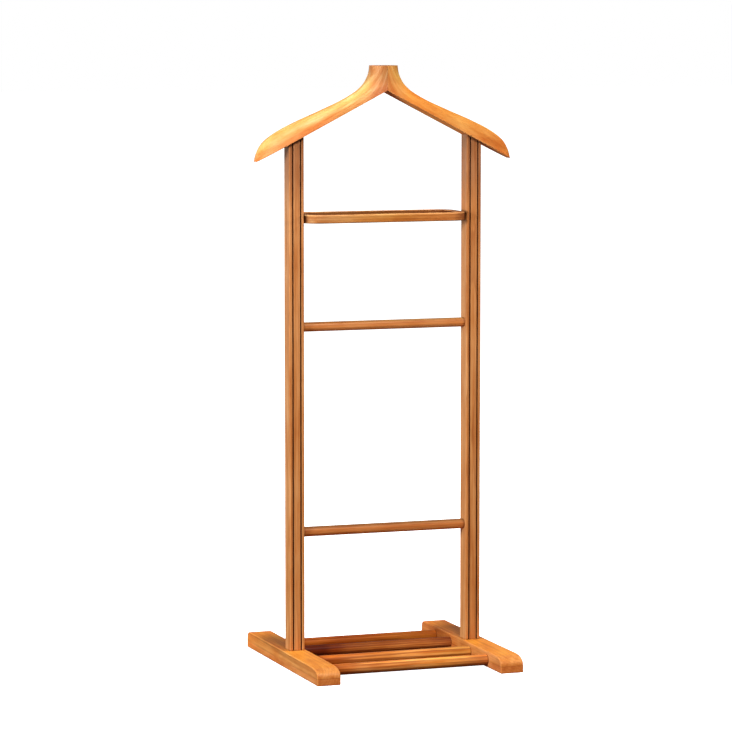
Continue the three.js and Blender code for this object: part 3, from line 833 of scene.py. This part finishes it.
def tray(material):
    """One skin from the tray's underside over its rim to the floor of its recess."""
    x1, y0, y1 = tray_high.x, tray_low.y, tray_high.y
    rings, marks = [], []
    for inset, z, wear_and_highlight in tray_outside():
        outline = rounded_rectangle(-x1 + inset, x1 - inset, y0 + inset, y1 - inset,
                                    TRAY_CORNER - inset)
        rings.append([(x, y, z) for x, y in outline])
        marks.append([(wedge_shade(x), wear_and_highlight) for x, y in outline])
    for inset, z, stain_and_shade, wear_and_highlight in tray_inside():
        outline = rounded_rectangle(-x1 + TRAY_END_RIM + inset, x1 - TRAY_END_RIM - inset,
                                    y0 + TRAY_RIM + inset, y1 - TRAY_RIM - inset,
                                    TRAY_RECESS_CORNER - inset)
        rings.append([(x, y, z) for x, y in outline])
        marks.append([(stain_and_shade, wear_and_highlight)] * len(outline))
    return loft("pocket_tray", rings, marks, material, "tray")


# ---- hanger ----------------------------------------------------------------------
def half_depth(x):
    """Half the front-to-back depth of the hanger, in mm, at x mm from the middle."""
    if x <= 0:
        return HALF_DEPTH[0][1]
    for i in range(len(HALF_DEPTH) - 1):
        xa, a = HALF_DEPTH[i]
        xb, b = HALF_DEPTH[i + 1]
        if x <= xb:
            before = HALF_DEPTH[max(i - 1, 0)]
            after = HALF_DEPTH[min(i + 2, len(HALF_DEPTH) - 1)]
            ma = (b - before[1]) / (xb - before[0])
            mb = (after[1] - a) / (after[0] - xa)
            gap = xb - xa
            f = (x - xa) / gap
            return ((2 * f ** 3 - 3 * f ** 2 + 1) * a + (f ** 3 - 2 * f ** 2 + f) * gap * ma
                    + (-2 * f ** 3 + 3 * f ** 2) * b + (f ** 3 - f ** 2) * gap * mb)
    return HALF_DEPTH[-1][1]


def heel_point(t):
    """Foot of each section, in mm: down the glued joint, then out along the underside."""
    apex = HANGER_APEX / MM
    places = [(0.0, z) for z in HEEL_Z] + [(x, apex - HANGER_SLOPE * x) for x in HEEL_X]
    i, f = step_on(places, t)
    (xa, za), (xb, zb) = places[i], places[i + 1]
    if xa == 0 and xb > 0:
        if f <= HANGER_TURN:
            return 0.0, za + (apex - za) * f / HANGER_TURN
        x = xb * (f - HANGER_TURN) / (1 - HANGER_TURN)
        return x, apex - HANGER_SLOPE * x
    return xa + (xb - xa) * f, za + (zb - za) * f


def arm_section(length, half, half_at_heel, edge):
    """(u, y, wear) round one section, u running from the heel to the crest."""
    edge = min(edge, length * HANGER_EDGE_LIMIT)
    drop = min(HANGER_CROWN / MM, length * HANGER_CROWN_LIMIT)
    sweep = half * HANGER_CROWN_SHARE
    bulge = edge * HANGER_EDGE_BULGE
    wall = length - drop
    side = [(0, half_at_heel - edge, 0.5), (bulge, half_at_heel - bulge, 1.0),
            (edge, half_at_heel, 0.5)]
    for k in range(1, HANGER_WALL_STEPS):
        f = k / HANGER_WALL_STEPS
        side.append((edge + (wall - edge) * f, half_at_heel + (half - half_at_heel) * f, 0.0))
    for a in quarter_turn(HANGER_CROWN_STEPS):
        side.append((wall + drop * math.sin(a), half - sweep + sweep * math.cos(a), 0.0))
    front = [(u, -y, wear_and_highlight) for u, y, wear_and_highlight in side]
    return front + side[::-1]


def arm(side, material):
    """Sections fanned from the glued joint out to the tip, standing on the heel line."""
    rings, marks = [], []
    for i in range(HANGER_STATIONS + 1):
        t = i / HANGER_STATIONS
        tx, tz = smooth_path(CREST, t)
        bx, bz = heel_point(t)
        length = math.hypot(tx - bx, tz - bz)
        ux, uz = (tx - bx) / length, (tz - bz) / length
        on_joint = bx < 1
        edge = (HANGER_JOINT_EDGE if on_joint else HANGER_EDGE) / MM
        ring, mark = [], []
        for u, y, wear_and_highlight in arm_section(length, half_depth(tx), half_depth(bx), edge):
            x = bx + ux * u
            ring.append((side * x * MM, POST_Y + y * MM, (bz + uz * u) * MM))
            seam = NECK_SEAM if x < NECK_SEAM_REACH else 0.0
            mark.append((seam, 0.0 if on_joint else wear_and_highlight))
        rings.append(ring)
        marks.append(mark)
    word = SIDE_WORD[side]
    return loft(f"hanger_{word}_shoulder", rings, marks, material,
                f"hanger_{word}_arm", sharp=HANGER_SHARP_ANGLE)


# ---- studio ------------------------------------------------------------------------
def area_light(name, place, target, size, power, colour=(1, 1, 1), in_reflections=True):
    data = bpy.data.lights.new(name, "AREA")
    data.shape = "RECTANGLE"
    data.size, data.size_y = size
    data.energy = power
    data.color = colour
    light = bpy.data.objects.new(name, data)
    light.location = place
    light.rotation_euler = (Vector(target) - Vector(place)).to_track_quat("-Z", "Y").to_euler()
    light.visible_glossy = in_reflections
    bpy.context.scene.collection.objects.link(light)


def studio_lights():
    """Soft key from above, cool light from the left, weaker ones in front and behind."""
    area_light("key", (-0.10, -1.85, 3.0), (0, 0, 0.4), size=(0.6, 0.6), power=98)
    area_light("left_softbox", (-2.5, -0.8, 0.95), (0, 0, 0.65), size=(0.5, 0.6), power=67,
               colour=COOL, in_reflections=False)
    area_light("front_fill", (-0.4, -4.6, 1.2), (0, 0, 0.55), size=(2.4, 2.0), power=8)
    area_light("rear_left_sheen", (-2.6, 4.9, 1.1), (0, 0, 0.55), size=(3.0, 3.0), power=20,
               colour=WARM)
    area_light("rear_fill", (2.4, 3.0, 0.8), (0, 0, 0.55), size=(1.6, 1.6), power=80,
               in_reflections=False)


def studio_floor():
    """Plain pale floor with an even glow of its own, which doesn't light the stand."""
    bm = bmesh.new()
    corners = [bm.verts.new((x * FLOOR_HALF, y * FLOOR_HALF, 0.0)) for x, y in
               ((-1, -1), (1, -1), (1, 1), (-1, 1))]
    bm.faces.new(corners)
    mesh = bpy.data.meshes.new("studio_floor")
    bm.to_mesh(mesh)
    bm.free()
    g = Node_graph(bpy.data.materials.new("pale_floor"))
    speckle, _ = g.noise(g.coordinates(), *FLOOR_SPECKLE)
    pale = g.ramp(speckle, [(0.3, (0.80, 0.80, 0.80)), (0.7, (0.82, 0.82, 0.82))])
    mesh.materials.append(g.principled({
        "Base Color": pale, "Roughness": 0.9, "Specular IOR Level": 0.0,
        "Emission Color": (1, 1, 1, 1), "Emission Strength": FLOOR_GLOW}))
    floor = bpy.data.objects.new("studio_floor", mesh)
    bpy.context.scene.collection.objects.link(floor)
    floor.visible_diffuse = False
    floor.visible_glossy = False


def studio_world():
    """White to the camera; soft grey light on the stand, weaker and warmer from below."""
    g = Node_graph(bpy.data.worlds.new("studio"))
    _, _, height = g.split(g.coordinates("Generated"))
    share = g.maths("MULTIPLY_ADD", height, 0.5, 0.5)
    ambient = g.node("ShaderNodeBackground")
    g.feed(ambient.inputs["Color"], g.ramp(share, [(0.45, GROUND_LIGHT), (0.95, SKY_LIGHT)],
                                           "LINEAR"))
    seen = g.node("ShaderNodeBackground")
    g.feed(seen.inputs["Color"], (1, 1, 1, 1))
    mix = g.node("ShaderNodeMixShader")
    g.feed(mix.inputs[0], g.node("ShaderNodeLightPath").outputs["Is Camera Ray"])
    g.feed(mix.inputs[1], ambient.outputs[0])
    g.feed(mix.inputs[2], seen.outputs[0])
    out = g.node("ShaderNodeOutputWorld")
    g.feed(out.inputs["Surface"], mix.outputs[0])
    bpy.context.scene.world = g.owner


def studio_camera():
    """Long lens from the front left, a little above the hanger."""
    data = bpy.data.cameras.new("camera")
    data.sensor_width = CAMERA_SENSOR
    data.lens = CAMERA_LENS
    data.clip_end = CAMERA_REACH
    camera = bpy.data.objects.new("camera", data)
    camera.location = CAMERA_PLACE
    camera.rotation_euler = (math.radians(90 - CAMERA_FALL), 0.0, math.radians(CAMERA_TURN))
    bpy.context.scene.collection.objects.link(camera)
    bpy.context.scene.camera = camera


# ---- painted light, shade and tone on each piece --------------------------------------
# Each table is (direction, stops), a stop being a place in mm along the direction and
# the (r, g, b) that the wood's colour is multiplied by there. Besides tone, they paint
# light and shade: shadows, lit and shaded faces and highlights.
# painted shadow of the arms at the top; painted light on the side faces, paler and cooler than the
# front
POST_PAINTED_LIGHT_AND_SHADE = [
    (UP, [(0, (1.05, 1.05, 1.0)), (400, (1, 1, 1)), (800, (0.95, 0.95, 1.0)),
          (900, (0.60, 0.58, 0.75)), (950, (0.45, 0.44, 0.55))]),
    (DEEP, [(-17, (0.87, 0.89, 0.96)), (-15.8, (0.90, 0.92, 0.98)),
            (-14.6, (1.07, 1.17, 1.32)), (12, (1.07, 1.17, 1.32))])]

# painted shade near the floor and in a line under the nose; a painted highlight on the top
FOOT_HEIGHT_PAINTED_LIGHT_AND_SHADE = (UP, [
    (0, (0.64, 0.52, 0.52)), (3, (1.0, 0.90, 0.98)), (11, (1.05, 0.99, 1.1)),
    (12.2, (0.84, 0.72, 0.70)), (13.6, (1, 1, 1)), (27, (1, 1, 1)), (29.5, (1.10, 1.06, 0.62))])
# painted shade on the nose and behind the post; painted light at the rear end
LEFT_FOOT_PAINTED_LIGHT_AND_SHADE = [
    FOOT_HEIGHT_PAINTED_LIGHT_AND_SHADE,
    (DEEP, [(-200, (0.84, 0.82, 0.85)), (-165, (0.94, 0.94, 0.98)), (5, (1, 1, 1)),
            (20, (0.96, 0.84, 0.7)), (120, (0.98, 0.90, 0.75)), (200, (1.28, 1.14, 0.95))])]
# painted shade behind the post and on the inner face
RIGHT_FOOT_PAINTED_LIGHT_AND_SHADE = [
    FOOT_HEIGHT_PAINTED_LIGHT_AND_SHADE,
    (DEEP, [(-200, (0.92, 0.89, 0.95)), (-165, (1.04, 1.06, 1.1)), (5, (1.02, 1.06, 1.04)),
            (20, (0.96, 0.84, 0.7)), (120, (0.96, 0.84, 0.7)), (200, (1.1, 0.94, 0.8))]),
    (ALONG, [(150.4, (0.92, 0.84, 0.93)), (151.4, (0.93, 0.86, 0.94)), (152.4, (1, 1, 1)),
             (193.7, (1, 1, 1))])]

# along: painted shadow at the left end, then tone; up: painted shade below, a painted highlight on
# top
FRONT_RAIL_TONE_AND_PAINTED_LIGHT = [
    (ALONG, [(-150, (0.6, 0.35, 0.2)), (-126, (0.75, 0.55, 0.35)), (-80, (0.92, 0.94, 1.0)),
             (0, (1.08, 1.2, 1.3)), (55, (1.25, 1.5, 1.45)), (145, (0.93, 1.0, 1.2))]),
    (UP, [(3.9, (0.9, 0.7, 0.6)), (8, (0.85, 0.7, 0.65)), (15, (0.86, 0.82, 0.90)),
          (20, (1.0, 1.02, 1.15)), (23.5, (1.35, 1.35, 1.4))])]
# along: painted shadow at the left end, then tone; up: painted shade below, a painted highlight on
# top
MID_FRONT_RAIL_TONE_AND_PAINTED_LIGHT = [
    (ALONG, [(-150, (0.7, 0.45, 0.25)), (-119, (0.9, 0.64, 0.34)), (-77, (0.92, 0.78, 0.7)),
             (-33, (0.86, 0.74, 0.58)), (52, (1.15, 1.25, 1.3)), (138, (0.9, 1.03, 0.9))]),
    (UP, [(3.9, (1, 0.8, 0.7)), (12, (0.95, 0.85, 0.82)), (18, (0.88, 0.86, 0.86)),
          (23.5, (0.96, 1.02, 1.2))])]
# along: painted shadow at the left end, then tone; up: painted light below, painted shade on top
MID_REAR_RAIL_TONE_AND_PAINTED_LIGHT = [
    (ALONG, [(-150, (0.4, 0.2, 0.1)), (-100, (0.34, 0.15, 0.08)), (-75, (0.7, 0.48, 0.35)),
             (-45, (1.1, 1.1, 1.15)), (0, (1.35, 1.55, 1.65)), (90, (1.35, 1.6, 1.8)),
             (150, (0.95, 1.05, 1.3))]),
    (UP, [(3.9, (1.4, 1.2, 1.1)), (8, (1.25, 1.2, 1.1)), (14, (1.05, 1.05, 1.15)),
          (18, (0.82, 0.80, 0.85)), (21.5, (0.62, 0.55, 0.55)), (23.9, (0.6, 0.5, 0.5))])]
# along: tone; up: painted shade below, a painted highlight on top
REAR_RAIL_TONE_AND_PAINTED_LIGHT = [
    (ALONG, [(-150, (0.9, 0.8, 0.5)), (-90, (0.92, 0.82, 0.6)), (-39, (0.66, 0.46, 0.28)),
             (20, (0.82, 0.7, 0.43)), (81, (1.1, 1.22, 0.9)), (150, (1.05, 1.05, 0.72))]),
    (UP, [(3.9, (0.9, 0.8, 0.7)), (16, (1.0, 0.98, 0.85)), (23.5, (1.4, 1.5, 1.3))])]

# heights from the bar's own middle, in mm: painted light below, painted shade on top
BAR_PAINTED_LIGHT_AND_SHADE = [(-9, (1.6, 1.6, 1.6)), (-3, (1.25, 1.25, 1.25)), (3, (0.98, 0.96, 0.9)),
              (9, (0.50, 0.60, 0.54))]

# tone along the front; painted shade at the ends against the posts
TRAY_TONE_AND_PAINTED_SHADE = [(ALONG, [(-154, (0.74, 0.78, 0.86)), (0, (0.82, 0.88, 0.68)),
                        (110, (0.82, 0.80, 0.74)), (154, (0.55, 0.45, 0.5))])]

# tone darker at the neck; painted highlight along the crest and over the inner arm, painted shade
# along the underside
LEFT_ARM_TONE_AND_PAINTED_LIGHT = [
    ((-1, 0, 0), [(0, (0.71, 0.67, 0.86)), (18, (0.84, 0.84, 1.25)), (45, (1, 1.30, 1.6)),
                  (77, (1, 1.38, 1.65)), (120, (1, 1.0, 1.0)), (160, (1, 1.0, 1.05)),
                  (205, (0.97, 1.05, 1.1)), (240, (1, 1.2, 1.35))]),
    (UP, [(1038, (1, 1, 1)), (1050, (0.88, 0.82, 0.80)), (1066, (0.80, 0.66, 0.58))]),
    ((-HANGER_SLOPE, 0, 1), [(1030, (0.82, 0.55, 0.52)), (1038, (0.90, 0.70, 0.68)),
                             (1048, (1, 0.98, 1)), (1062, (1, 1.28, 1.45)),
                             (1088, (1, 1.1, 1.1))])]
# tone darker at the neck; painted highlight along the crest, painted shade along the underside
RIGHT_ARM_TONE_AND_PAINTED_LIGHT = [
    (ALONG, [(0, (0.74, 0.71, 0.82)), (8, (0.82, 0.86, 1.0)), (18, (0.88, 0.92, 0.95)),
             (45, (0.95, 0.82, 0.48)), (130, (0.90, 0.87, 0.64)), (200, (0.86, 0.78, 0.64)),
             (240, (1.05, 1.0, 0.95))]),
    (UP, [(1040, (1, 1, 1)), (1052, (0.88, 0.84, 0.80)), (1066, (0.78, 0.68, 0.62))]),
    ((HANGER_SLOPE, 0, 1), [(1030, (0.92, 0.70, 0.62)), (1040, (0.95, 0.87, 0.85)),
                            (1052, (1, 1, 1)), (1068, (1.15, 1.42, 1.38)),
                            (1088, (1, 1.1, 1.1))])]


# ---- the pieces in their wood --------------------------------------------------------
# A seat is the piece's place in its log, in mm, and a pith the log's heart across it.
def posts():
    """Two posts of the same timber, painted darker under the arms as shadow."""
    for side, seat, pith in ((-1, (40, -12, 310), (120, 55)), (1, (-150, 33, 905), (60, 130))):
        post(side, wood(f"{SIDE_WORD[side]}_post_wood", UP, seat, HONEY, pith=pith, streaks=1.3,
                        tints=POST_PAINTED_LIGHT_AND_SHADE))


def feet():
    """Left and right foot, each with its own painted light and shade."""
    for side, seat, pith, tone_and_painted_light in ((-1, (210, 15, 45), (260, 120), LEFT_FOOT_PAINTED_LIGHT_AND_SHADE),
                                     (1, (-75, 40, 580), (-10, 180), RIGHT_FOOT_PAINTED_LIGHT_AND_SHADE)):
        foot(side, wood(f"{SIDE_WORD[side]}_foot_wood", DEEP, seat, AMBER, pith=pith, rings=0.25,
                        figure=1.8, tints=tone_and_painted_light))


def base_rails():
    """Four rails, front to rear; the two behind are painted darker, as shade."""
    for node, seat, palette, tone_and_painted_light in (
            ("base_rail_front", (12, 140, 77), RUSSET, FRONT_RAIL_TONE_AND_PAINTED_LIGHT),
            ("base_rail_mid_front", (60, -90, 420), RUSSET, MID_FRONT_RAIL_TONE_AND_PAINTED_LIGHT),
            ("base_rail_mid_rear", (-33, 55, 915), SHADED_UMBER, MID_REAR_RAIL_TONE_AND_PAINTED_LIGHT),
            ("base_rail_rear", (95, 210, 1360), SHADED_UMBER, REAR_RAIL_TONE_AND_PAINTED_LIGHT)):
        rail_wood = wood(f"{node}_wood", ALONG, seat, palette, ring=3.9, streaks=1.6, rings=0.75,
                         wander=0.25, ior=DULL_IOR, tints=tone_and_painted_light)
        rod(node, rail_wood, foot_low.x, RAIL_SOCKET_STAIN_AND_SHADE, underside_shade=RAIL_UNDERSIDE_SHADE)


def trouser_bars():
    """Two bars of brown timber, painted paler below as light and darker on top as shade."""
    for node, seat in (("trouser_bar_upper", (18, -240, 2110)),
                       ("trouser_bar_lower", (-70, 310, 2650))):
        low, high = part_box(node)
        middle = (low.z + high.z) / 2 / MM
        painted_bar_light = [(middle + height, shade) for height, shade in BAR_PAINTED_LIGHT_AND_SHADE]
        bar_wood = wood(f"{node}_wood", ALONG, seat, TOFFEE, streaks=1.3, wander=0.4,
                        tints=[(UP, painted_bar_light)])
        rod(node, bar_wood, post_low.x, BAR_SOCKET_STAIN_AND_SHADE)


def pocket_tray():
    """The tray, with a highlight painted paler along its rim."""
    tray(wood("tray_wood", ALONG, (25, 80, 3140), dict(HONEY, rim_highlight=PAINTED_RIM_HIGHLIGHT), pith=(30, 150),
              figure=1.5, tints=TRAY_TONE_AND_PAINTED_SHADE))


def hanger():
    """Two arms whose fibres turn out of the neck."""
    for side, seat, pith, tone_and_painted_light in ((-1, (35, 18, 4100), (1180, 110), LEFT_ARM_TONE_AND_PAINTED_LIGHT),
                                     (1, (-20, 65, 5200), (1130, 70), RIGHT_ARM_TONE_AND_PAINTED_LIGHT)):
        arm(side, wood(f"{SIDE_WORD[side]}_arm_wood", (side, 0, -HANGER_SLOPE), seat, GOLD,
                       pith=pith, ring=7.5, rings=0.12, streaks=0.5, figure=2.4, gloss=0.55,
                       swept=True, tints=tone_and_painted_light))


def hidden_fixings():
    """Hidden CAD pieces keep their shape and get their own finish."""
    dowel_across = wood("dowel_across_wood", ALONG, (5, 7, 60), BEECH, ring=2.5, gloss=0.6)
    dowel_upright = wood("dowel_upright_wood", UP, (9, 3, 90), BEECH, ring=2.5, gloss=0.6)
    screw_finish = steel("zinc_screw")
    for node_name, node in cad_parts.items():
        if "screw" in node_name:
            finish = screw_finish
        elif node_name.startswith(("neck_dowel", "tray_dowel")):
            finish = dowel_across
        elif "dowel" in node_name:
            finish = dowel_upright
        else:
            continue
        for material_slot in node.material_slots:
            material_slot.material = finish


# ---- build --------------------------------------------------------------------------
studio_camera()
studio_world()
studio_floor()
studio_lights()
bpy.context.scene.view_settings.view_transform = "Standard"

posts()
feet()
base_rails()
trouser_bars()
pocket_tray()
hanger()
hidden_fixings()
